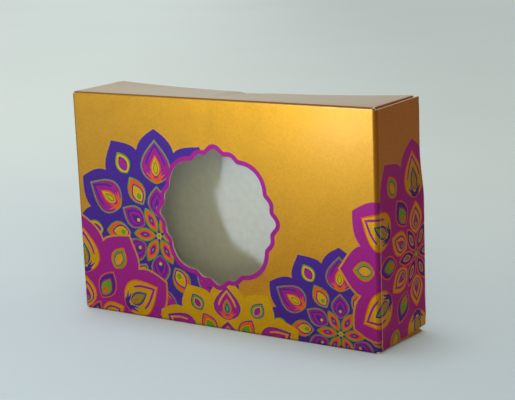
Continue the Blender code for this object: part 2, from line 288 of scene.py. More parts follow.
class Sheet:
    """The flat sheet, and where its points lie once it is folded.

    u runs across the front panel and on round the upright folds, v runs up it and on round the level
    folds. Both are lengths on the printed face, from the middle of the front panel's foot. depth goes
    into the board.
    """

    def __init__(self, sizes):
        """Works out the sheet's lines from its sizes, the frame's crease and the CAD's box."""
        self.sizes = sizes
        self.board = sizes.board
        self.radius = sizes.fold_radius
        self.quarter = self.radius * math.pi / 2
        self.half_fold = self.quarter / 2
        inside = sizes.board + sizes.clearance
        crease = joint("right_closure_crease")["pos_m"]
        apex = self.radius * (1 - math.cos(math.pi / 4))
        self.half_width = crease[0] + apex
        self.half_depth = apex - crease[1]
        self.height = CAD_BOX[1].z
        self.end_plane = self.half_width - inside
        self.tuck_plane = self.half_depth - inside
        self.seam_edge = self.tuck_plane - self.radius
        self.upright = sizes.upright_radius
        self.upright_quarter = self.upright * math.pi / 2
        self.side_line = self.half_width - self.upright
        self.end_line = self.end_plane - self.radius
        self.top_line = self.height - self.radius
        self.top_flat = self.seam_edge - (self.radius - self.half_depth)
        self.closure_flat = self.seam_edge - (self.upright - self.half_depth)
        self.bottom_flat = 2 * (self.half_depth - self.radius)
        self.tuck_turn = math.pi / 2 + sizes.tuck_lean
        self.tuck_arc = self.radius * self.tuck_turn

    def turn(self, run, depth, radius=None):
        """A quarter fold: how far on and how far in a point comes, by its run past the fold's start."""
        radius = radius or self.radius
        quarter = radius * math.pi / 2
        angle = np.clip(run, 0, quarter) / radius
        on = np.minimum(run, 0) + (radius - depth) * np.sin(angle)
        inward = radius - (radius - depth) * np.cos(angle) + np.maximum(run - quarter, 0)
        return on, inward

    def sag(self, x):
        """How far the seam along the top's back edge dips."""
        bow = self.sizes.seam_sag * np.clip(1 - (x / self.end_line) ** 2, 0, 1)
        rise = smooth((x - DENT_START) / (DENT_PEAK - DENT_START))
        fall = 1 - smooth((x - DENT_PEAK) / (DENT_END - DENT_PEAK))
        return bow + self.sizes.seam_dent * rise * fall

    def tube(self, u, v, depth):
        """A place on the tube: front, top and glue flap upwards, bottom and back downwards."""
        x = u + 0 * v
        rise = v - self.top_line
        on, inward = self.turn(rise, depth)
        y, z = inward - self.half_depth, self.top_line + on
        on, inward = self.turn(rise - self.quarter - self.top_flat, depth)
        above = rise > self.quarter
        y = np.where(above, self.seam_edge + on, y)
        z = np.where(above, self.height - inward, z)
        reach = (y + self.half_depth - self.radius) / self.top_flat
        z = z - np.where(above, self.sag(x) * np.clip(reach, 0, 1), 0)
        fall = self.radius - v
        on, inward = self.turn(fall, depth)
        under = fall > 0
        y = np.where(under, inward - self.half_depth, y)
        z = np.where(under, self.radius - on, z)
        behind = fall > self.quarter
        on, inward = self.turn(fall - self.quarter - self.bottom_flat, depth)
        y = np.where(behind, self.half_depth - self.radius + on, y)
        z = np.where(behind, inward * (1 - self.sag(x) * smooth(on / self.radius) / self.height), z)
        return np.stack([x, y, z], -1)

    def spring(self, v):
        """How far a closure stands out along its back edge, at a height."""
        sizes = self.sizes
        share = v / self.height
        change = smooth((SPRING_HIGH_SHARE - share) / (SPRING_HIGH_SHARE - SPRING_LOW_SHARE))
        foot = np.clip(1 - share / SPRING_FOOT_SHARE, 0, 1)
        high = sizes.spring_top + (sizes.spring_middle - sizes.spring_top) * change
        return high + (sizes.spring_bottom - sizes.spring_middle) * foot

    def swing(self, share):
        """How much of the spring a closure has, by its share of the way to the back edge."""
        return share**2 * (1 + SPRING_EASE_SHARE) / (share + SPRING_EASE_SHARE)

    def end(self, side):
        """Places on one end: the front's upright fold, the closure, its back fold and the tuck flap."""

        def place(u, v, depth):
            run = side * u - self.side_line
            z = v + self.closure_lift(run, v)
            on, inward = self.turn(run, depth, self.upright)
            share = np.clip((run - self.upright_quarter) / self.closure_flat, 0, 1)
            ease = SPRING_EASE_SHARE
            swing = self.swing(share)
            slope = (1 + ease) * (share**2 + 2 * ease * share) / (share + ease) ** 2
            spring = self.spring(z)
            lean = np.arctan(slope * spring / self.closure_flat)
            x = self.side_line + on
            y = inward - self.half_depth
            flat = run > self.upright_quarter
            x = np.where(flat, self.half_width + swing * spring - depth * np.cos(lean), x)
            y = np.where(flat, y + depth * np.sin(lean), y)
            past = run - self.upright_quarter - self.closure_flat
            share = np.clip(past / self.tuck_arc, 0, 1)
            heading = -lean + (self.tuck_turn + lean) * share
            reach = np.maximum(past - self.tuck_arc, 0)
            centre_x = self.half_width + spring - self.radius * np.cos(lean)
            centre_y = self.seam_edge + self.radius * np.sin(lean)
            inner = self.radius - depth
            folded = past > 0
            x = np.where(folded, centre_x + inner * np.cos(heading) - reach * np.sin(heading), x)
            y = np.where(folded, centre_y + inner * np.sin(heading) + reach * np.cos(heading), y)
            return np.stack([side * x, y, z], -1)

        return place

    def dust(self, side, level):
        """Places on a dust flap: u is the place from front to back, and v the run past its panel.

        The foot of a lower one stands out as far as the closure before it.
        """

        def place(u, v, depth):
            on, inward = self.turn(v, depth)
            x = self.end_line + on + 0 * u
            z = self.height - inward
            if level == "bottom":
                z = inward
                share = np.clip((u + self.half_depth - self.upright) / self.closure_flat, 0, 1)
                foot = smooth(v / self.quarter) * (1 - smooth((z - DUST_FOOT_LOW) / DUST_FOOT_RISE))
                x = x + self.swing(share) * self.sizes.spring_bottom * foot
            return np.stack([side * x, u + 0 * v, z], -1)

        return place

    def closure_lift(self, run, v):
        """How far a closure is skewed upwards, which grows from its crease to its back edge."""
        _, inward = self.turn(run, 0, self.upright)
        share = np.clip(inward / (self.tuck_plane + self.half_depth), 0, 1)
        up = (v - self.radius) / (self.height - 2 * self.radius)
        return share * (BACK_RISE * (1 - up) + (self.radius - self.sizes.clearance) * up)

    def window_centre(self):
        """The window's middle on the front panel."""
        return -WINDOW_OFF_CENTRE, self.height * WINDOW_HEIGHT_SHARE

    def window_radius(self, degrees):
        """The window's radius in a direction, from the scallop's dents and lobes."""
        half = SCALLOP_TURN / 2
        folded = abs((degrees + half) % SCALLOP_TURN - half)
        for (a0, r0, _), (a1, r1, early) in zip(SCALLOP_SHARES, SCALLOP_SHARES[1:]):
            if folded <= a1:
                turn = ((folded - a0) / (a1 - a0)) ** early
                return self.sizes.window_tip * (r0 + (r1 - r0) * (1 - math.cos(math.pi * turn)) / 2)
        return self.sizes.window_tip * SCALLOP_SHARES[-1][1]

    def window(self, grown=0):
        """The window's outline, or the outer edge of a pen of that radius drawn round it."""
        count = round(360 / SCALLOP_STEP)
        turns = [math.radians(k * 360 / count) for k in range(count)]
        radii = np.array([self.window_radius(math.degrees(t)) for t in turns])
        points = np.stack([radii * np.cos(turns), radii * np.sin(turns)], -1)
        outline = []
        for turn, radius in zip(turns, radii):
            ray = np.array([math.cos(turn), math.sin(turn)])
            reach = radius
            if grown:
                across = points @ np.array([-ray[1], ray[0]])
                near = np.abs(across) < grown
                reach = (points[near] @ ray + np.sqrt(grown**2 - across[near] ** 2)).max()
            outline.append(np.array(self.window_centre()) + reach * ray)
        return [tuple(p) for p in outline]


# A mandala's motifs in shares of its radius, each from its lowest layer up: tip, base, half width, how
# the width grows from the base, and how it ends
STAR_SHARES = (
    (0.293, 0.035, 0.066, 0.85, 0.9),
    (0.272, 0.052, 0.049, 0.85, 0.9),
    (0.224, 0.096, 0.029, 0.85, 0.9),
    (0.196, 0.122, 0.018, 0.7, 0.7),
    (0.178, 0.142, 0.008, 0.7, 0.7),
)
SECOND_DROP_SHARES = (
    (0.472, 0.180, 0.112, 0.9, 1.1),
    (0.456, 0.184, 0.100, 0.9, 1.1),
    (0.418, 0.210, 0.078, 0.75, 1.05),
    (0.392, 0.222, 0.060, 0.72, 1.05),
    (0.362, 0.234, 0.038, 0.6, 1.3),
    (0.282, 0.246, 0.018, 0.5, 0.5),
)
SECOND_ALMOND_SHARES = (
    (0.617, 0.325, 0.102, 0.92, 1.0),
    (0.599, 0.338, 0.090, 0.92, 1.0),
    (0.546, 0.347, 0.069, 0.9, 1.05),
    (0.530, 0.361, 0.054, 0.9, 1.05),
    (0.445, 0.383, 0.025, 0.8, 0.8),
)
BIG_DROP_SHARES = (
    (0.904, 0.490, 0.170, 0.72, 1.15),
    (0.886, 0.500, 0.158, 0.72, 1.15),
)
# The line over the big drop: the tips of its outer and inner edges, its base, and their half widths
ROOF_SHARES = (0.867, 0.834, 0.52, 0.114, 0.097)
FLAME_SHARES = (
    (0.760, 0.562, 0.060, 0.7, 1.1),
    (0.740, 0.567, 0.042, 0.7, 1.1),
    (0.708, 0.578, 0.030, 0.7, 1.1),
    (0.684, 0.595, 0.0145, 0.7, 1.1),
)
ALMOND_SHARES = (
    (0.875, 0.655, 0.087, 0.75, 0.9),
    (0.858, 0.666, 0.074, 0.75, 0.9),
    (0.830, 0.682, 0.050, 0.8, 0.9),
    (0.815, 0.691, 0.038, 0.9, 0.9),
)
SPRIG_ROOT_SHARE = 0.507
# Leaves of the sprig: degrees off the petal's axis, and length
LEAVES = ((36, 0.128), (52, 0.138), (70, 0.078))
LEAF_WIDTH_SHARE = 0.023
LEAF_SHAPE = (0.8, 1.0)
HEART_SHARES = (0.545, 0.496, 0.034, 0.6, 0.8)
FLOWER_SHARE = 0.031
FLOWER_LOBES = 6
FLOWER_LOBE_SHARE = 0.13
FLOWER_DOT_SHARE = 0.014
FLOWER_STEPS = 36
FLOWER_DOT_STRIDE = 3

# Half a petal's edge, across and out from the centre: a cubic curve from the valley to the tip
VALLEY_SHARE = 0.82
LARGE_PETAL_SHARES = ((0.185, 0.90), (0.085, 0.952), (0.0, 1.0))
SMALL_PETAL_SHARES = ((0.195, 0.88), (0.06, 0.95), (0.0, 1.0))
PETAL_STEPS = 6
# How sharp a corner may be before the line round it is cut short
MITRE_LIMIT = 0.45
# The ring's inputs, with the kinds of their sockets
RING_INPUTS = {
    "Geometry": "Geometry",
    "Count": "Int",
    "Radius Across": "Float",
    "Radius Up": "Float",
    "Centre": "Vector",
}

# What each colourway prints: the ground, and each motif's inks from its lowest layer up
COLOURWAYS = {
    "violet": {
        "ground": "violet",
        "star": ("green", "orange", "magenta", "violet", "green"),
        "second drop": ("green", "magenta", "violet", "magenta", "violet", "yellow"),
        "second almond": ("green", "orange", "violet", "yellow", "green"),
        "big drop": ("green", "magenta"),
        "roof": "violet",
        "flame": ("orange", "yellow", "green", "yellow"),
        "sprig": "orange",
        "almond": ("green", "yellow", "violet", "magenta"),
        "flower": ("yellow", "green"),
    },
    "magenta": {
        "ground": "magenta",
        "star": ("orange", "violet", "yellow", "magenta", "green"),
        "second drop": ("orange", "yellow", "magenta", "yellow", "magenta", "green"),
        "second almond": ("orange", "violet", "magenta", "green", "orange"),
        "big drop": ("orange", "yellow"),
        "roof": "magenta",
        "flame": ("violet", "green", "orange", "green"),
        "sprig": "violet",
        "almond": ("orange", "green", "magenta", "yellow"),
        "flower": ("green", "yellow"),
    },
    "yellow": {
        "ground": "yellow",
        "star": ("violet", "orange", "yellow", "green", "violet"),
        "second drop": ("violet", "magenta", "yellow", "magenta", "yellow", "green"),
        "second almond": ("violet", "orange", "yellow", "green", "violet"),
        "big drop": ("violet", "magenta"),
        "roof": "yellow",
        "flame": ("orange", "green", "violet", "green"),
        "sprig": "orange",
        "almond": ("violet", "green", "yellow", "magenta"),
        "flower": ("magenta", "green"),
    },
}

# The painted highlight along an upright crease, a pale line that stands in for the light the crease
# catches: its ends in shares of the height, and how it thins out
PAINTED_HIGHLIGHT_SHARES = (0.004, 0.60)
PAINTED_HIGHLIGHT_SHAPE = (0.15, 0.35)

# Mandalas from the lowest to the top one: colourway, centre across and up, radius across and up, trim
MANDALAS = (
    ("violet", -39.7 * MM, 47.6 * MM, 59.3 * MM, 59.3 * MM, False),
    ("violet", 72.9 * MM, 7.7 * MM, 48.6 * MM, 45.3 * MM, False),
    ("magenta", -93.4 * MM, -11.2 * MM, 65.3 * MM, 65.3 * MM, True),
    ("magenta", 130.4 * MM, 42.3 * MM, 57.0 * MM, 61.0 * MM, True),
    ("yellow", 3.3 * MM, -16.5 * MM, 51.0 * MM, 45.0 * MM, False),
)
LARGE_AXIS = math.radians(30)
SMALL_AXIS = 0.0


def mirrored(outline):
    """An outline turned over, with its points in the other order."""
    return [(-x, y) for x, y in reversed(outline)]


def bulge(half, grow, end, share):
    """Half a drop's width at a share of its length, by how it grows from its base and how it ends."""
    widest = grow / (grow + end)
    return half * share**grow * (1 - share) ** end / (widest**grow * (1 - widest) ** end)


def drop(tip, base, half, grow, end, steps):
    """A drop on a petal's axis, wide above its round base and pointed at its tip."""
    shares = [math.sin(math.pi * k / 2 / steps) ** 2 for k in range(steps + 1)]
    side = [(bulge(half, grow, end, t), base + (tip - base) * t) for t in shares]
    return side + mirrored(side[1:-1])


def layers(shapes, inks, steps):
    """The drops of one motif, each with its ink."""
    return [(drop(*shape, steps), ink) for shape, ink in zip(shapes, inks, strict=True)]


def roof(steps):
    """The line that follows the upper half of the big drop and thins out at its two ends."""
    high, low, foot, wide, narrow = ROOF_SHARES
    grow, end = BIG_DROP_SHARES[0][3:]
    widest = grow / (grow + end)
    shares = [widest + (1 - widest) * math.sin(math.pi * k / 2 / steps) for k in range(steps + 1)]
    outer, inner = (
        [(bulge(half, grow, end, t), foot + (tip - foot) * t) for t in shares]
        for tip, half in ((high, wide), (low, narrow))
    )
    inner[0] = outer[0]
    left_inner = [(-x, y) for x, y in inner[1:-1]]
    return outer + mirrored(outer[:-1]) + left_inner + inner[:0:-1]


def leaf(degrees, length, steps):
    """A pointed leaf of the sprig, leaning off the petal's axis."""
    lean = math.radians(degrees)
    turn, rise = math.sin(lean), math.cos(lean)
    shape = drop(length, 0, LEAF_WIDTH_SHARE / 2, *LEAF_SHAPE, steps)
    return [(x * rise + y * turn, SPRIG_ROOT_SHARE + y * rise - x * turn) for x, y in shape]


def petal_pair(inks, steps):
    """The motifs of one large and one small petal: outline, ink and axis, from the lowest up."""
    large, small = [], []
    few = max(3, steps // 2)
    small += layers(STAR_SHARES, inks["star"], steps)
    large += layers(SECOND_DROP_SHARES, inks["second drop"], steps)
    small += layers(SECOND_ALMOND_SHARES, inks["second almond"], steps)
    large += layers(BIG_DROP_SHARES, inks["big drop"], steps + few)
    large.append((roof(steps), inks["roof"]))
    large += layers(FLAME_SHARES, inks["flame"], steps)
    for degrees, length in LEAVES:
        large.append((leaf(degrees, length, few), inks["sprig"]))
        large.append((leaf(-degrees, length, few), inks["sprig"]))
    large.append((drop(*HEART_SHARES, few), inks["sprig"]))
    small += layers(ALMOND_SHARES, inks["almond"], steps)
    return [(s, ink, LARGE_AXIS) for s, ink in large] + [(s, ink, SMALL_AXIS) for s, ink in small]


def along_axis(point, axis):
    """Turns a point given across and along an axis into the mandala's own plane."""
    x, y = point
    return x * math.sin(axis) + y * math.cos(axis), y * math.sin(axis) - x * math.cos(axis)


def petal_template(name, inks, steps):
    """A flat mesh with one polygon for each motif of a petal pair, its ink and its layer."""
    points, faces, numbers = [], [], []
    for shape, ink, axis in petal_pair(inks, steps):
        faces.append(range(len(points), len(points) + len(shape)))
        points += [(*along_axis(p, axis), 0) for p in shape]
        numbers.append(INKS.index(ink))
    mesh = bpy.data.meshes.new(name)
    mesh.from_pydata(points, [], faces)
    mesh.attributes.new("ink", "INT", "FACE").data.foreach_set("value", numbers)
    mesh.attributes.new("layer", "INT", "FACE").data.foreach_set("value", list(range(len(faces))))
    return mesh


def wire(tree, made, inputs):
    """Gives a node's inputs what they take: a plain value, a colour, or another node's socket."""
    for name, value in inputs.items():
        socket = made.inputs[name]
        if isinstance(value, bpy.types.NodeSocket):
            tree.links.new(value, socket)
        elif socket.type == "RGBA":
            socket.default_value = (*value, 1)
        else:
            socket.default_value = value


def node(tree, kind, inputs=None, **settings):
    """A new node with its settings and its inputs."""
    made = tree.nodes.new(kind)
    for name, value in settings.items():
        setattr(made, name, value)
    wire(tree, made, inputs or {})
    return made


def maths(tree, operation, first, second):
    """One value worked out from two."""
    return node(tree, "ShaderNodeMath", {0: first, 1: second}, operation=operation).outputs[0]


def ring_tree(inks):
    """Geometry nodes that repeat a petal pair round a centre, stretch the ring and ink its motifs."""
    tree = bpy.data.node_groups.new("petal_ring", "GeometryNodeTree")
    sockets = [
        tree.interface.new_socket(name, in_out="INPUT", socket_type="NodeSocket" + kind)
        for name, kind in RING_INPUTS.items()
    ]
    tree.interface.new_socket("Geometry", in_out="OUTPUT", socket_type="NodeSocketGeometry")
    given = node(tree, "NodeGroupInput")
    points = node(tree, "GeometryNodePoints", {"Count": given.outputs["Count"]})
    turn = maths(tree, "DIVIDE", 2 * math.pi, given.outputs["Count"])
    angle = maths(tree, "MULTIPLY", node(tree, "GeometryNodeInputIndex").outputs[0], turn)
    rotation = node(tree, "ShaderNodeCombineXYZ", {"Z": angle})
    copies = node(tree, "GeometryNodeInstanceOnPoints", {
        "Points": points.outputs[0],
        "Instance": given.outputs["Geometry"],
        "Rotation": rotation.outputs[0],
    })
    stretch = node(tree, "ShaderNodeCombineXYZ", {
        "X": given.outputs["Radius Across"],
        "Y": given.outputs["Radius Up"],
    })
    placed = node(tree, "GeometryNodeTransform", {
        "Geometry": copies.outputs[0],
        "Scale": stretch.outputs[0],
        "Translation": given.outputs["Centre"],
    })
    last = node(tree, "GeometryNodeRealizeInstances", {0: placed.outputs[0]}).outputs[0]
    ink = node(tree, "GeometryNodeInputNamedAttribute", {"Name": "ink"}, data_type="INT")
    for number, material in enumerate(inks):
        same = node(
            tree, "FunctionNodeCompare", {"A": ink.outputs["Attribute"], "B": number},
            data_type="INT", operation="EQUAL",
        )
        inked = {"Geometry": last, "Material": material, "Selection": same.outputs[0]}
        last = node(tree, "GeometryNodeSetMaterial", inked).outputs[0]
    node(tree, "NodeGroupOutput", {0: last})
    return tree, [socket.identifier for socket in sockets[1:]]


def ring_shapes(template, tree, keys, values):
    """Runs the ring on a template and reads back its polygons: outline and ink, from the lowest up."""
    carrier = bpy.data.objects.new("petals", template)
    bpy.context.scene.collection.objects.link(carrier)
    ring = carrier.modifiers.new("ring", "NODES")
    ring.node_group = tree
    for key, value in zip(keys, values):
        ring[key] = value
    graph = bpy.context.evaluated_depsgraph_get()
    mesh = bpy.data.meshes.new_from_object(carrier.evaluated_get(graph))
    carrier.modifiers.remove(ring)
    bpy.data.objects.remove(carrier)
    points = np.empty(len(mesh.vertices) * 3)
    mesh.vertices.foreach_get("co", points)
    points = points.reshape(-1, 3)[:, :2]
    levels = np.empty(len(mesh.polygons), int)
    mesh.attributes["layer"].data.foreach_get("value", levels)
    shapes = []
    for number in np.argsort(levels, kind="stable"):
        polygon = mesh.polygons[number]
        ink = mesh.materials[polygon.material_index].name
        shapes.append(([tuple(points[v]) for v in polygon.vertices], ink))
    bpy.data.meshes.remove(mesh)
    if not shapes:
        raise RuntimeError("the petal ring came out empty")
    return shapes


def petal_edge(pairs):
    """The outline of all petals, in shares of the radius."""
    half_turn = math.pi / pairs / 2
    valley = (VALLEY_SHARE * math.sin(half_turn), VALLEY_SHARE * math.cos(half_turn))
    outline = []
    for number in range(2 * pairs):
        axis = number * math.pi / pairs
        large = number % 2 == 1
        first, second, tip = LARGE_PETAL_SHARES if large else SMALL_PETAL_SHARES
        curve = np.array((valley, first, second, tip))
        side = []
        for k in range(PETAL_STEPS + 1):
            t = k / PETAL_STEPS
            weights = ((1 - t) ** 3, 3 * t * (1 - t) ** 2, 3 * t * t * (1 - t), t**3)
            side.append(tuple(sum(w * p[n] for w, p in zip(weights, curve)) for n in (0, 1)))
        outline += [along_axis(p, axis) for p in side + mirrored(side[1:-1])]
    return outline


def outset(outline, width):
    """An outline moved outwards by a line's width, mitred at its corners."""
    moved = []
    count = len(outline)
    for k, point in enumerate(outline):
        before = Vector(point) - Vector(outline[k - 1])
        after = Vector(outline[(k + 1) % count]) - Vector(point)
        right = [Vector((d.y, -d.x)).normalized() for d in (before, after)]
        middle = (right[0] + right[1]).normalized()
        moved.append(tuple(Vector(point) + middle * (width / max(MITRE_LIMIT, middle.dot(right[0])))))
    return moved


def flower(inks):
    """The small flower in a mandala's middle."""
    turns = [2 * math.pi * k / FLOWER_STEPS for k in range(FLOWER_STEPS)]
    lobed = [FLOWER_SHARE * (1 + FLOWER_LOBE_SHARE * math.cos(FLOWER_LOBES * t)) for t in turns]
    edge = [(r * math.cos(t), r * math.sin(t)) for r, t in zip(lobed, turns)]
    few = turns[::FLOWER_DOT_STRIDE]
    dot = [(FLOWER_DOT_SHARE * math.cos(t), FLOWER_DOT_SHARE * math.sin(t)) for t in few]
    return [(edge, inks[0]), (dot, inks[1])]


def printed_shapes(sheet, materials):
    """All that is printed on the sheet over its gold ground: outline and ink, from the lowest up."""
    sizes = bpy.context.scene.carton_print
    tree, keys = ring_tree([materials[ink] for ink in INKS])
    templates = {
        way: petal_template(way + "_petals", inks, sizes.steps) for way, inks in COLOURWAYS.items()
    }
    shapes = []
    for way, centre_u, centre_v, across, up, trimmed in MANDALAS:
        inks = COLOURWAYS[way]

        def stretch(outline):
            """An outline in shares of the mandala, laid on the sheet."""
            return [(centre_u + across * x, centre_v + up * y) for x, y in outline]

        edge = stretch(petal_edge(sizes.petals))
        if trimmed:
            shapes.append((outset(edge, sizes.trim), "gold"))
        shapes.append((edge, inks["ground"]))
        values = (sizes.petals, across, up, (centre_u, centre_v, 0))
        shapes += ring_shapes(templates[way], tree, keys, values)
        shapes += [(stretch(outline), ink) for outline, ink in flower(inks["flower"])]
    shapes.append((sheet.window(sizes.border), "magenta"))
    # Painted highlight: a pale line printed along each upright crease where the crease catches the light
    low, high = (sheet.height * share for share in PAINTED_HIGHLIGHT_SHARES)
    for side in SIDES.values():
        crease = side * (sheet.side_line + sheet.upright_quarter)
        line = drop(high, low, sizes.worn / 2, *PAINTED_HIGHLIGHT_SHAPE, sizes.steps)
        shapes.append(([(crease + x, y) for x, y in line], "worn"))
    return shapes


def spread(low, high, spacing):
    """Places that cut a distance into equal steps of about the given spacing."""
    count = max(1, round((high - low) / spacing))
    return [low + (high - low) * k / count for k in range(1, count)]


def lines_across(outline, us, vs):
    """Straight cuts across a panel's whole pattern, at the given places."""
    points = np.array(outline)
    (u0, v0), (u1, v1) = points.min(0) - MM, points.max(0) + MM
    return [((u, v0), (u, v1)) for u in us] + [((u0, v), (u1, v)) for v in vs]


def cut_sheet(loops, shapes, lines):
    """Cuts a stretch of the flat sheet into triangles. The first loop is its edge, the others are holes.

    Gives the points, the triangles, the number of the top shape on each, and for each point the loop
    points that it stands for.
    """
    points, faces, edges = [], [], []
    for loop in [*loops, *shapes]:
        faces.append(list(range(len(points), len(points) + len(loop))))
        points += loop
    for line in lines:
        edges.append((len(points), len(points) + 1))
        points += line
    found = delaunay_2d_cdt([Vector(p) for p in points], edges, faces, 0, MERGE)
    flat, _, triangles, origins, _, owners = found
    holes = set(range(1, len(loops)))
    kept = []
    for triangle, owner in zip(triangles, owners):
        if 0 in owner and not holes & set(owner):
            top = max(owner)
            kept.append((triangle, top - len(loops) if top >= len(loops) else None))
    return np.array([tuple(p) for p in flat]), kept, origins


def rim_loops(triangles):
    """The edges that only one triangle has, chained into loops that keep the sheet on their left."""
    edges = set()
    for triangle in triangles:
        edges.update(zip(triangle, triangle[1:] + triangle[:1]))
    following = {start: end for start, end in edges if (end, start) not in edges}
    loops = []
    while following:
        start, point = following.popitem()
        loop = [start]
        while point != start:
            loop.append(point)
            point = following.pop(point)
        loops.append(loop)
    return loops


def area(loop):
    """The signed area inside a loop of points."""
    x, y = np.array(loop).T
    return float(np.sum(x * np.roll(y, -1) - y * np.roll(x, -1)) / 2)


def faces_of_sheet(place, flat, depth, board):
    """Where a skin's points lie, and which way its printed side faces there."""
    u, v = flat[:, 0], flat[:, 1]
    here = place(u, v, depth)
    along = place(u + NORMAL_STEP, v, depth) - place(u - NORMAL_STEP, v, depth)
    up = place(u, v + NORMAL_STEP, depth) - place(u, v - NORMAL_STEP, depth)
    normals = np.cross(along, up)
    normals /= np.linalg.norm(normals, axis=1)[:, None]
    into = place(u, v, board) - place(u, v, 0.0)
    side = -math.copysign(1, float(np.sum(normals * into)))
    return here, normals * side, side


def make_board(name, place, outline, shapes=(), holes=(), us=(), vs=()):
    """A closed piece of board: printed outer skin, plain inner skin and raw cut edge."""
    board, materials = folded_sheet().board, finish_set()
    low, high = np.array(outline).min(0), np.array(outline).max(0)
    near = []
    for shape, ink in shapes:
        points = np.array(shape)
        if (points.max(0) > low).all() and (points.min(0) < high).all():
            near.append((shape, ink))
    lines = lines_across(outline, us, vs)
    loops = [list(outline), *holes]
    flat, outer, _ = cut_sheet(loops, [s for s, _ in near], lines)
    rims = rim_loops([t for t, _ in outer])
    rims.sort(key=lambda loop: -area(flat[loop]))
    turned = [rims[0]] + [list(reversed(loop)) for loop in rims[1:]]
    back, inner, origins = cut_sheet([[tuple(flat[k]) for k in loop] for loop in turned], [], lines)
    rim_points = [k for loop in turned for k in loop]
    behind = {}
    for number, origin in enumerate(origins):
        for k in origin:
            if k < len(rim_points):
                behind[rim_points[k]] = len(flat) + number
    outside, out_normals, side = faces_of_sheet(place, flat, 0.0, board)
    inside, in_normals, _ = faces_of_sheet(place, back, board, board)
    points = np.concatenate([outside, inside])
    faces, finishes, normals = [], [], []

    def add(corners, finish, corner_normals):
        """Keeps a face, turned so that it looks outwards."""
        if side < 0:
            corners, corner_normals = corners[::-1], corner_normals[::-1]
        faces.append(corners)
        finishes.append(finish)
        normals.extend(corner_normals)

    for triangle, top in outer:
        ink = near[top][1] if top is not None else "gold"
        add(list(triangle), ink, [out_normals[k] for k in triangle])
    for triangle, _ in inner:
        corners = list(reversed(triangle))
        add([len(flat) + k for k in corners], "inside", [-in_normals[k] for k in corners])
    for loop in rims:
        for a, b in zip(loop, loop[1:] + loop[:1]):
            corners = [b, a, behind[a], behind[b]]
            across = np.cross(points[a] - points[b], points[behind[b]] - points[b]) * side
            across /= max(np.linalg.norm(across), TINY)
            add(corners, "edge", [across] * len(corners))
    used = [f for f in materials if f in finishes]
    kept = sorted({k for corners in faces for k in corners})
    order = {k: number for number, k in enumerate(kept)}
    mesh = bpy.data.meshes.new(name)
    cut_faces = [[order[k] for k in corners] for corners in faces]
    mesh.from_pydata([tuple(points[k]) for k in kept], [], cut_faces)
    mesh.polygons.foreach_set("material_index", [used.index(f) for f in finishes])
    mesh.polygons.foreach_set("use_smooth", [True] * len(faces))
    for finish in used:
        mesh.materials.append(materials[finish])
    mesh.normals_split_custom_set([tuple(n) for n in normals])
    leans = 1 - np.abs(np.concatenate([out_normals, in_normals])).max(1)
    mesh.attributes.new(LEAN, "FLOAT", "POINT").data.foreach_set("value", leans[kept])
    piece = bpy.data.objects.new(name, mesh)
    bpy.context.scene.collection.objects.link(piece)
    return piece


def rounded(corners, radius, steps=CORNER_STEPS):
    """An outline through (point, whether it is rounded), with its corners rounded by an arc."""
    outline = []
    count = len(corners)
    for k, (point, is_round) in enumerate(corners):
        here = Vector(point)
        if not is_round:
            outline.append(tuple(here))
            continue
        before = (Vector(corners[k - 1][0]) - here).normalized()
        after = (Vector(corners[(k + 1) % count][0]) - here).normalized()
        half = before.angle(after) / 2
        reach = radius / math.tan(half)
        start, end = here + before * reach, here + after * reach
        centre = here + (before + after).normalized() * radius / math.sin(half)
        sweep = (start - centre).angle_signed(end - centre)
        for step in range(steps + 1):
            arm = Matrix.Rotation(-sweep * step / steps, 2) @ (start - centre)
            outline.append(tuple(centre + arm))
    return outline


def fold_places(start, end, steps=FOLD_STEPS):
    """Cuts through a fold, its two ends included."""
    return [start + (end - start) * k / steps for k in range(steps + 1)]


# Inks over the foil: metallic share, roughness, coat
INK_GLOSS = {
    "gold": (1.0, 0.34, 1.0),
    "violet": (0.85, 0.34, 0.3),
    "magenta": (0.80, 0.34, 0.3),
    "yellow": (0.9, 0.34, 0.3),
    "green": (0.8, 0.36, 0.3),
    "orange": (0.8, 0.36, 0.3),
}
COAT_ROUGHNESS = 0.20
COAT_IOR = 1.55
# The third of these is the painted highlight along the upright creases
PLAIN_ROUGHNESS = {"inside": 0.85, "edge": 0.9, "worn": 0.7}
PLAIN_SPECULAR = 0.25

# Folds crush the foil and have shade painted into their colour: the leans between which this sets in, the
# painted shade of the colour there and the foil's least roughness
FOLD_LEANS = (0.0004, 0.012)
FOLD_SHADE = 0.72
FOLD_ROUGHNESS = 0.62

# Noise: scale, detail, and the values at its low and high end
NOISE_ENDS = (0.3, 0.7)
FOIL_GRAIN = (900, 3, 0.92, 1.08)
FOIL_GLOSS = (120, 4)
FOIL_GLOSS_CHANGE = 0.03
FOIL_WAVES = (22, 2, 0, 1)
FOIL_FIBRES = (1100, 2, 0, 1)
PLAIN_MOTTLE = (260, 5, 0.95, 1.05)
PLAIN_FIBRES = (900, 5, 0, 1, (1, 1, 0.35))
FILM_GLOSS = (60, 2, 0.04, 0.10)
FLOOR_MOTTLE = (3, 3, 0.985, 1.015)

# Bumps: strength and depth
FOIL_WAVE_BUMP = (0.10, 1 * MM)
FOIL_FIBRE_BUMP = (0.22, 0.05 * MM)
PLAIN_FIBRE_BUMP = (0.35, 0.06 * MM)

FILM_MIRROR = (0.90, 0.92, 0.92)
FILM_ROUGHNESS = 0.06
FILM_CLEAR = (0.97, 0.98, 0.98)
FILM_IOR = 1.45


def finish_material(name, colour, metallic, roughness):
    """A new node material and its shader, with the values that are alike all over it."""
    material = bpy.data.materials.new(name)
    material.use_nodes = True
    shader = material.node_tree.nodes["Principled BSDF"]
    wire(material.node_tree, shader, {
        "Base Color": colour,
        "Metallic": metallic,
        "Roughness": roughness,
    })
    return material, shader


def ranged(tree, value, start, end, before, after, kind="SMOOTHSTEP"):
    """A value that eases from one number to another over a range."""
    reach = node(tree, "ShaderNodeMapRange", {
        "Value": value,
        "From Min": start,
        "From Max": end,
        "To Min": before,
        "To Max": after,
    }, interpolation_type=kind)
    return reach.outputs[0]


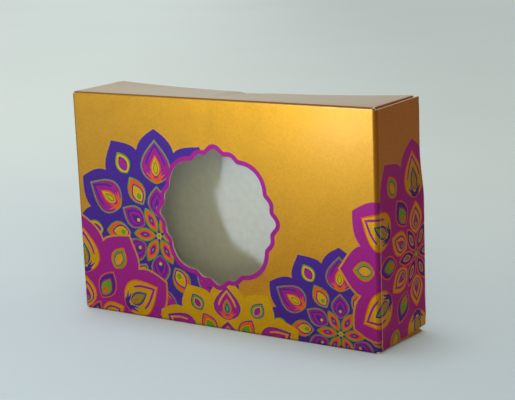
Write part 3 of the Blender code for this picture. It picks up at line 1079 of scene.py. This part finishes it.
def noise(tree, scale, detail, low, high, stretch=(1, 1, 1)):
    """Noise on object coordinates, spread over a range of values."""
    where = node(tree, "ShaderNodeTexCoord").outputs["Object"]
    mapping = node(tree, "ShaderNodeMapping", {"Vector": where, "Scale": stretch})
    inputs = {"Vector": mapping.outputs[0], "Scale": scale, "Detail": detail}
    texture = node(tree, "ShaderNodeTexNoise", inputs)
    return ranged(tree, texture.outputs["Fac"], *NOISE_ENDS, low, high, "LINEAR")


def mixed(tree, share, first, second, kind="MIX"):
    """A mix of two colours, each given as numbers or as a socket."""
    inputs = {"Factor": share, "A": first, "B": second}
    return node(tree, "ShaderNodeMix", inputs, data_type="RGBA", blend_type=kind).outputs["Result"]


def bumps(tree, *heights):
    """Chained bumps from (height, (strength, depth)), coarse to fine, for the shader's normal."""
    last = {}
    for height, (strength, depth) in heights:
        inputs = {"Height": height, "Strength": strength, "Distance": depth, **last}
        last = {"Normal": node(tree, "ShaderNodeBump", inputs).outputs[0]}
    return last["Normal"]


def fold_crush_and_shade(tree, flat, folded):
    """A value that goes from a flat board's to a fold's by the face's lean; it carries the folds' painted
    shade and the roughness of their crushed foil.
    """
    lean = node(tree, "ShaderNodeAttribute", attribute_name=LEAN)
    return ranged(tree, lean.outputs["Fac"], *FOLD_LEANS, flat, folded)


def foil(name, colour, metallic, roughness, coat):
    """Metallised board, bare or under a clear ink: fine grain, faint waves, uneven gloss, rough folds
    with painted shade.
    """
    material, shader = finish_material(name, colour, metallic, roughness)
    tree = material.node_tree
    # Painted shade: the foil's colour darkens on folds, by how far the face leans
    fold_shaded_colour = mixed(tree, 1, colour, fold_crush_and_shade(tree, 1, FOLD_SHADE), "MULTIPLY")
    low, high = roughness - FOIL_GLOSS_CHANGE, roughness + FOIL_GLOSS_CHANGE
    uneven = noise(tree, *FOIL_GLOSS, low, high)
    waves, fibres = noise(tree, *FOIL_WAVES), noise(tree, *FOIL_FIBRES)
    wire(tree, shader, {
        "Base Color": mixed(tree, 1, fold_shaded_colour, noise(tree, *FOIL_GRAIN), "MULTIPLY"),
        "Roughness": maths(tree, "MAXIMUM", uneven, fold_crush_and_shade(tree, 0, FOLD_ROUGHNESS)),
        "Normal": bumps(tree, (waves, FOIL_WAVE_BUMP), (fibres, FOIL_FIBRE_BUMP)),
        "Coat Weight": coat,
        "Coat Roughness": COAT_ROUGHNESS,
        "Coat IOR": COAT_IOR,
    })
    return material


def plain_board(name, colour, roughness):
    """Uncoated board: mottled, matt and fibrous."""
    material, shader = finish_material(name, colour, 0, roughness)
    tree = material.node_tree
    wire(tree, shader, {
        "Base Color": mixed(tree, 1, colour, noise(tree, *PLAIN_MOTTLE), "MULTIPLY"),
        "Normal": bumps(tree, (noise(tree, *PLAIN_FIBRES), PLAIN_FIBRE_BUMP)),
        "Specular IOR Level": PLAIN_SPECULAR,
    })
    return material


def mixed_shaders(tree, share, first, second):
    """A mix of two shaders, by how much there is of the second."""
    inputs = {0: share, 1: first.outputs[0], 2: second.outputs[0]}
    return node(tree, "ShaderNodeMixShader", inputs)


def clear_film(name):
    """Film that mirrors a little and lets the rest through."""
    material, shader = finish_material(name, FILM_MIRROR, 1, FILM_ROUGHNESS)
    tree = material.node_tree
    wire(tree, shader, {"Roughness": noise(tree, *FILM_GLOSS)})
    through = node(tree, "ShaderNodeBsdfTransparent", {"Color": FILM_CLEAR})
    edge = node(tree, "ShaderNodeFresnel", {"IOR": FILM_IOR})
    both = mixed_shaders(tree, edge.outputs[0], through, shader)
    wire(tree, tree.nodes["Material Output"], {"Surface": both.outputs[0]})
    return material


@functools.cache
def folded_sheet():
    """The sheet, with the sizes that are set when it is first asked for."""
    return Sheet(bpy.context.scene.carton_sheet)


@functools.cache
def finish_set():
    """The materials of the inks, of the plain board and its raw edges, and of the painted highlight on
    the creases.
    """
    colours = bpy.context.scene.carton_finishes
    found = {ink: foil(ink, getattr(colours, ink), *INK_GLOSS[ink]) for ink in INKS}
    for name, roughness in PLAIN_ROUGHNESS.items():
        found[name] = plain_board(name, getattr(colours, name), roughness)
    return found


@functools.cache
def printed_sheet():
    """The shapes that are printed on the whole sheet."""
    return printed_shapes(folded_sheet(), finish_set())


def rectangle(u0, v0, u1, v1):
    """A rectangle's corners, from its two opposite ones."""
    return [(u0, v0), (u1, v0), (u1, v1), (u0, v1)]


class CARTON_OT_front(Operator):
    """Makes the front board with its window and print"""

    bl_idname = "carton.front"
    bl_label = "Front board"

    def execute(self, context):
        sheet = folded_sheet()
        side, half = sheet.side_line, sheet.half_fold
        outline = rectangle(-side, sheet.radius - half, side, sheet.top_line + half)
        vs = fold_places(sheet.radius - half, sheet.radius, HALF_FOLD_STEPS)[1:]
        vs += spread(sheet.radius, sheet.top_line, PLAIN_SPACING)
        vs += fold_places(sheet.top_line, sheet.top_line + half, HALF_FOLD_STEPS)[:-1]
        piece = make_board(
            "front_board", sheet.tube, outline, printed_sheet(), [sheet.window()],
            spread(-side, side, PLAIN_SPACING), vs,
        )
        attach(piece, "tube")
        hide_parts("front_panel")
        return {"FINISHED"}


class CARTON_OT_tube(Operator):
    """Makes the top, bottom and back boards and the glue flap"""

    bl_idname = "carton.tube"
    bl_label = "Tube boards"

    def execute(self, context):
        sheet = folded_sheet()
        end, half, quarter = sheet.end_line, sheet.half_fold, sheet.quarter
        steps = HALF_FOLD_STEPS
        top_start = sheet.top_line + quarter
        top_end = top_start + sheet.top_flat
        foot = sheet.radius - quarter
        back_start = foot - sheet.bottom_flat
        back_flat = back_start - quarter
        back_end = back_flat - (sheet.height - 2 * sheet.radius)
        panels = {
            "top": (
                rectangle(-end, top_start - half, end, top_end + half), SAG_SPACING,
                fold_places(top_start - half, top_start, steps)[1:]
                + spread(top_start, top_end, PLAIN_SPACING)
                + fold_places(top_end, top_end + half, steps)[:-1],
            ),
            "bottom": (
                rectangle(-end, back_start - half, end, foot + half), PLAIN_SPACING,
                fold_places(back_start - half, back_start, steps)[1:]
                + fold_places(foot, foot + half, steps)[:-1],
            ),
            "back": (
                rectangle(-sheet.end_plane, back_end, sheet.end_plane, back_start - half), SAG_SPACING,
                fold_places(back_flat, back_start - half, steps)[:-1],
            ),
        }
        for name, (outline, spacing, vs) in panels.items():
            us = spread(outline[0][0], outline[1][0], spacing)
            piece = make_board(name + "_board", sheet.tube, outline, printed_sheet(), (), us, vs)
            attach(piece, "tube")
            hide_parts(name + "_panel")
        self.glue_flap(sheet, top_end + half)
        return {"FINISHED"}

    def glue_flap(self, sheet, start):
        """The flap inside the back, whose lip runs the whole length."""
        flat = start + sheet.half_fold
        lip = flat + GLUE_LIP
        low = flat + GLUE_REACH - sheet.radius
        wide, narrow = sheet.end_line, sheet.half_width - TUCK_REACH - GLUE_SPARE
        right = [(wide, start), (wide, lip), (narrow, lip + GLUE_STEP), (narrow - GLUE_TAPER, low)]
        piece = make_board(
            "glue_flap_board", sheet.tube, right + mirrored(right),
            us=spread(-wide, wide, SAG_SPACING), vs=fold_places(start, flat, HALF_FOLD_STEPS)[1:],
        )
        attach(piece, "tube")
        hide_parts("glue_flap")


def end_board(name, side, outline, runs, heights):
    """A printed board of one end. Its outline and cuts are given by their run past the front's edge."""
    sheet = folded_sheet()
    shifted = [(run + sheet.side_line, v) for run, v in outline]
    if side < 0:
        shifted = mirrored(shifted)
    us = [side * (run + sheet.side_line) for run in runs]
    return make_board(name, sheet.end(side), shifted, printed_sheet(), (), us, heights)


class CARTON_OT_closures(Operator):
    """Makes the closures and the folds that they swing on"""

    bl_idname = "carton.closures"
    bl_label = "Closures"

    def execute(self, context):
        sheet = folded_sheet()
        start = sheet.upright_quarter
        end = start + sheet.closure_flat
        low, high = sheet.radius, sheet.top_line
        heights = spread(0, sheet.height, SPRING_SPACING)
        for name, side in SIDES.items():
            panel = rectangle(start, low, end, high)
            runs = spread(start, end, SPRING_SPACING)
            piece = end_board(name + "_closure_board", side, panel, runs, heights)
            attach(piece, name + "_closure")
            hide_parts(name + "_closure_panel")
            strip = rectangle(0, low, start, high)
            crease = end_board(name + "_closure_fold", side, strip, fold_places(0, start)[1:-1], heights)
            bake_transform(crease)
        return {"FINISHED"}


def strip_ends(place, ends):
    """The points on a fold's inner face at the given places of the sheet."""
    depth = folded_sheet().board
    return [place(np.array([u]), np.array([v]), depth)[0] for u, v in ends]


class CARTON_OT_tucks(Operator):
    """Makes the tuck flaps and their folds"""

    bl_idname = "carton.tucks"
    bl_label = "Tuck flaps"

    def execute(self, context):
        sheet = folded_sheet()
        fold = sheet.upright_quarter + sheet.closure_flat
        flat = fold + sheet.tuck_arc
        free = flat + (TUCK_REACH - sheet.radius) / math.cos(sheet.sizes.tuck_lean)
        low, high = sheet.radius + TUCK_INSET, sheet.top_line - TUCK_INSET
        heights = spread(low, high, SPRING_SPACING)
        corners = (
            ((flat, low), False), ((free, low), True), ((free, high), True), ((flat, high), False),
        )
        flap = rounded(corners, TUCK_CORNER)
        for name, side in SIDES.items():
            piece = end_board(name + "_tuck_board", side, flap, [(flat + free) / 2], heights)
            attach(piece, name + "_tuck")
            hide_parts(name + "_tuck_flap")
            strip = rectangle(fold, low, flat, high)
            crease = end_board(name + "_tuck_fold", side, strip, fold_places(fold, flat)[1:-1], heights)
            us = [side * (sheet.side_line + run) for run in (fold, flat)]
            ends = strip_ends(sheet.end(side), [(u, sheet.height / 2) for u in us])
            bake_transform(crease)
        return {"FINISHED"}


class CARTON_OT_dust_flaps(Operator):
    """Makes the dust flaps and their folds"""

    bl_idname = "carton.dust_flaps"
    bl_label = "Dust flaps"

    def execute(self, context):
        sheet = folded_sheet()
        front = sheet.radius - sheet.half_depth
        back = sheet.half_depth - DUST_BACK_RELIEF
        shoulder = sheet.half_depth - DUST_SHOULDER_RELIEF
        start = sheet.quarter
        rise = start + DUST_SHOULDER_RISE - sheet.radius
        free = start + DUST_REACH - sheet.radius
        corners = (
            ((front, start), False), ((back, start), False), ((shoulder, rise), False),
            ((shoulder, free), True), ((front + DUST_FRONT_TAPER, free), True),
        )
        across = spread(front, back, SPRING_SPACING)
        for name, side in SIDES.items():
            for level in LEVELS:
                place = sheet.dust(side, level)
                flap = f"{name}_{level}_dust"
                piece = make_board(
                    flap + "_board", place, rounded(corners, DUST_CORNER),
                    us=across, vs=spread(start, free, SPRING_SPACING),
                )
                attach(piece, flap)
                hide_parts(flap + "_flap")
                crease = make_board(
                    flap + "_fold", place, rectangle(front, 0, back, start),
                    us=across, vs=fold_places(0, start)[1:-1],
                )
                ends = strip_ends(place, [(front, run) for run in (0, start)])
                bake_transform(crease)
        return {"FINISHED"}


class CARTON_OT_film(Operator):
    """Gives the window film its clear material"""

    bl_idname = "carton.film"
    bl_label = "Window film"

    def execute(self, context):
        film = frame["nodes"].get("window_film")
        if film is None:
            raise RuntimeError("the frame has no window film")
        film.data.materials.clear()
        film.data.materials.append(clear_film("film"))
        return {"FINISHED"}


# The studio, in metres
FLOOR_SIZE = 12.0
# Painted shade across the picture: where the floor's colour starts to dim, where it is dimmest, and its
# share there
FLOOR_PALE = -0.25
FLOOR_DIM = 0.30
FLOOR_DIM_SHARE = 0.76
# Painted shade towards the camera: where the floor's colour starts to darken and cool, where it is
# coolest, and the shares there
FLOOR_FAR_NEAR = (0.50, -0.15)
FLOOR_NEAR_SHARES = (0.80, 0.835, 0.925)

# Lamps in front: degrees from the front's own direction, degrees up, distance, size, degrees of fan,
# colour, where the beam goes off the carton's middle, and the kind of ray that doesn't see the lamp
LAMPS = {
    "key": (-7.5, 0.6, 1.2, 0.19, 20, (0.86, 1.0, 1.40), (-50 * MM, 0, 30 * MM), "visible_glossy"),
    "sheen": (-20, 15, 0.6, 0.17, 180, (0.95, 1.0, 1.05), (0, 0, 0), "visible_diffuse"),
    "glint": (-18.3, -1.9, 0.433, 0.05, 180, (0.95, 1.0, 1.05), (0, 0, 0), "visible_diffuse"),
    "fill": (41, 15, 1.3, 1.1, 60, (1.0, 0.96, 0.70), (0, 0, 0), "visible_glossy"),
}
OVERHEAD_AIM = (0.13, -0.05, -1.0)
OVERHEAD_ANGLE = math.radians(24)
OVERHEAD_COLOUR = (0.88, 1.0, 1.14)
SKY_COLOUR = (1.0, 0.93, 0.76)

# What gloss sees: a pale room that turns dark and warm towards +X, above and on the floor, where it is a
# painted reflection in the floor's colour.
# Each range has the places between which it turns, and how far it has turned there
ROOM_PALE = (0.54, 0.60, 0.58)
ROOM_WARM = (0.195, 0.12, 0.12)
ROOM_SIDE = (-0.62, -0.10, 0, 1)
ROOM_CEILING = (0.22, 0.60, 0, 0.8)
FLOOR_SIDE = (0.06, 0.135, 0, 1)
FLOOR_FRONT = (-0.50, -0.05, 0.25, 0.85)
BACKDROP = (0.62, 0.69, 0.69)

# The camera: place, turn about Z, tilt off straight down, roll, and lens for a 36 mm sensor
CAMERA_PLACE = (0.406158, -0.604903, 0.225979)
CAMERA_TURN = math.radians(33.20)
CAMERA_TILT = math.radians(90 - 12.37)
CAMERA_ROLL = math.radians(-2.235)
CAMERA_LENS = 96.27
SENSOR = 36


class CARTON_OT_stage(Operator):
    """Makes the floor, the lamps, the sky and the camera"""

    bl_idname = "carton.stage"
    bl_label = "Studio"

    def execute(self, context):
        scene = context.scene
        settings = scene.carton_studio
        self.floor(scene.carton_finishes.floor)
        for name, values in LAMPS.items():
            self.lamp(name + "_lamp", getattr(settings, name), *values)
        overhead = self.light("overhead_light", "SUN", settings.overhead, OVERHEAD_COLOUR, OVERHEAD_AIM)
        overhead.data.angle = OVERHEAD_ANGLE
        overhead.visible_glossy = False
        self.sky(scene, settings.ambient)
        self.camera(scene)
        scene.view_settings.view_transform = "Standard"
        return {"FINISHED"}

    def light(self, name, kind, power, colour, aim):
        """A lamp that shines in a direction."""
        data = bpy.data.lights.new(name, kind)
        data.energy = power
        data.color = colour
        item = bpy.data.objects.new(name, data)
        item.rotation_euler = Vector(aim).to_track_quat("-Z", "Y").to_euler()
        bpy.context.scene.collection.objects.link(item)
        return item

    def lamp(self, name, power, azimuth, elevation, distance, size, fan, colour, beam, unseen):
        """A round soft lamp placed about the carton's middle, its beam aimed there or a little off it."""
        around, up = math.radians(azimuth), math.radians(elevation)
        level = math.cos(up)
        toward = Vector((math.sin(around) * level, -math.cos(around) * level, math.sin(up)))
        item = self.light(name, "AREA", power, colour, Vector(beam) - toward * distance)
        item.location = Vector((0, 0, folded_sheet().height / 2)) + toward * distance
        item.data.shape = "DISK"
        item.data.size = size
        item.data.spread = math.radians(fan)
        setattr(item, unseen, False)

    def floor(self, colour):
        """Pale paper with painted shade, dimmer towards the right and darker and cooler towards the
        camera, and a painted reflection: warm and dark where only gloss sees it.
        """
        half = FLOOR_SIZE / 2
        mesh = bpy.data.meshes.new("floor")
        corners = [(x, y, 0) for x, y in rectangle(-half, -half, half, half)]
        mesh.from_pydata(corners, [], [(0, 1, 2, 3)])
        material, shader = finish_material("floor", colour, 0, 1)
        tree = material.node_tree
        where = node(tree, "ShaderNodeTexCoord").outputs["Object"]
        right = (math.cos(CAMERA_TURN), math.sin(CAMERA_TURN), 0)
        across = node(tree, "ShaderNodeVectorMath", {0: where, 1: right}, operation="DOT_PRODUCT")
        # Painted shade: the floor's colour dims towards the right of the picture
        dim = ranged(tree, across.outputs["Value"], FLOOR_PALE, FLOOR_DIM, 1, FLOOR_DIM_SHARE)
        mottled = maths(tree, "MULTIPLY", dim, noise(tree, *FLOOR_MOTTLE))
        parts = node(tree, "ShaderNodeSeparateXYZ", {0: where}).outputs
        # Painted reflection: to the right and in front, rays of gloss see the floor in the warm dark room
        # colour
        beside, before = ranged(tree, parts["X"], *FLOOR_SIDE), ranged(tree, parts["Y"], *FLOOR_FRONT)
        in_gloss = node(tree, "ShaderNodeLightPath").outputs["Is Glossy Ray"]
        warm = maths(tree, "MULTIPLY", maths(tree, "MAXIMUM", beside, before), in_gloss)
        # Painted shade: the floor's colour darkens and cools towards the camera
        near = ranged(tree, parts["Y"], *FLOOR_FAR_NEAR, 0, 1)
        cool = [c * share for c, share in zip(colour, FLOOR_NEAR_SHARES)]
        paper = mixed(tree, 1, mixed(tree, near, colour, cool), mottled, "MULTIPLY")
        wire(tree, shader, {
            "Base Color": mixed(tree, warm, paper, ROOM_WARM),
            "Specular IOR Level": 0,
        })
        mesh.materials.append(material)
        item = bpy.data.objects.new("floor", mesh)
        bpy.context.scene.collection.objects.link(item)

    def sky(self, scene, strength):
        """An even sky, with a pale backdrop and, for gloss, a room that turns dark towards +X."""
        world = scene.world or bpy.data.worlds.new("sky")
        scene.world = world
        world.use_nodes = True
        tree = world.node_tree
        last = tree.nodes["Background"]
        wire(tree, last, {"Color": SKY_COLOUR, "Strength": strength})
        where = node(tree, "ShaderNodeTexCoord").outputs["Generated"]
        parts = node(tree, "ShaderNodeSeparateXYZ", {0: where}).outputs
        beside, above = ranged(tree, parts["X"], *ROOM_SIDE), ranged(tree, parts["Z"], *ROOM_CEILING)
        turned = maths(tree, "MAXIMUM", beside, above)
        path = node(tree, "ShaderNodeLightPath").outputs
        seen = {
            "Is Glossy Ray": mixed(tree, turned, ROOM_PALE, ROOM_WARM),
            "Is Camera Ray": BACKDROP,
        }
        for ray, colour in seen.items():
            backdrop = node(tree, "ShaderNodeBackground", {"Color": colour})
            last = mixed_shaders(tree, path[ray], last, backdrop)
        wire(tree, tree.nodes["World Output"], {"Surface": last.outputs[0]})

    def camera(self, scene):
        """The camera, where the photograph was taken from."""
        data = bpy.data.cameras.new("camera")
        data.lens = CAMERA_LENS
        data.sensor_width = SENSOR
        item = bpy.data.objects.new("camera", data)
        turn = Matrix.Rotation(CAMERA_TURN, 4, "Z")
        tilt = Matrix.Rotation(CAMERA_TILT, 4, "X")
        roll = Matrix.Rotation(CAMERA_ROLL, 4, "Z")
        item.matrix_world = Matrix.Translation(CAMERA_PLACE) @ turn @ tilt @ roll
        scene.collection.objects.link(item)
        scene.camera = item


OPERATORS = (
    CARTON_OT_stage,
    CARTON_OT_front,
    CARTON_OT_tube,
    CARTON_OT_closures,
    CARTON_OT_tucks,
    CARTON_OT_dust_flaps,
    CARTON_OT_film,
)


class CARTON_PT_panel(Panel):
    """Lists the carton's pieces"""

    bl_idname = "CARTON_PT_panel"
    bl_label = "Window carton"
    bl_space_type = "VIEW_3D"
    bl_region_type = "UI"
    bl_category = "Carton"

    def draw(self, context):
        for operator in OPERATORS:
            self.layout.operator(operator.bl_idname)
        for settings in SETTINGS:
            group = getattr(context.scene, settings)
            box = self.layout.box()
            for name in group.__annotations__:
                box.prop(group, name)


SETTINGS = {
    "carton_sheet": SheetSizes,
    "carton_print": PrintSizes,
    "carton_finishes": Finishes,
    "carton_studio": StudioSettings,
}


def register():
    """Adds the settings, the operators and the panel."""
    for group in SETTINGS.values():
        bpy.utils.register_class(group)
    for name, group in SETTINGS.items():
        setattr(bpy.types.Scene, name, PointerProperty(type=group))
    for item in (*OPERATORS, CARTON_PT_panel):
        bpy.utils.register_class(item)


def unregister():
    """Takes them away again."""
    for item in (CARTON_PT_panel, *reversed(OPERATORS)):
        bpy.utils.unregister_class(item)
    for name, group in SETTINGS.items():
        delattr(bpy.types.Scene, name)
        bpy.utils.unregister_class(group)


def main():
    """Makes the studio and every piece."""
    register()
    bpy.ops.carton.stage()
    bpy.ops.carton.front()
    bpy.ops.carton.tube()
    bpy.ops.carton.closures()
    bpy.ops.carton.tucks()
    bpy.ops.carton.dust_flaps()
    bpy.ops.carton.film()


if __name__ == "__main__":
    main()
